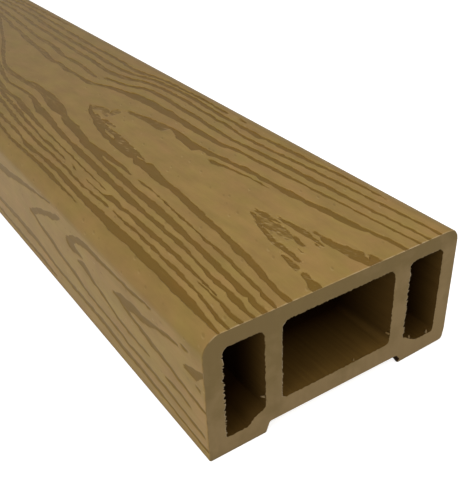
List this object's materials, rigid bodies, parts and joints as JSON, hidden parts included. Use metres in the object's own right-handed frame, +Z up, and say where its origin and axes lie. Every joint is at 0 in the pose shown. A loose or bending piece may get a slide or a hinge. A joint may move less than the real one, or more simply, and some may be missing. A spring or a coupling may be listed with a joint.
{
  "type": "composite handrail",
  "caption": "Hollow wood-plastic handrail profile, sawn square, with a broad chamber between narrow ones, rounded top edges, embossed wood grain and a shallow seat along the underside.",
  "frame": {"origin": "middle of the underside: half way along the rail, half way across it, in the plane of its two feet", "axes": "+Y along the rail's length, +X across its width, +Z up from the feet to the hand face"},
  "size_m": [0.1, 1.8, 0.0475],
  "materials": {
    "composite": "matte"
  },
  "bodies": {
    "root": {"handrail": "composite"}
  },
  "joints": []
}
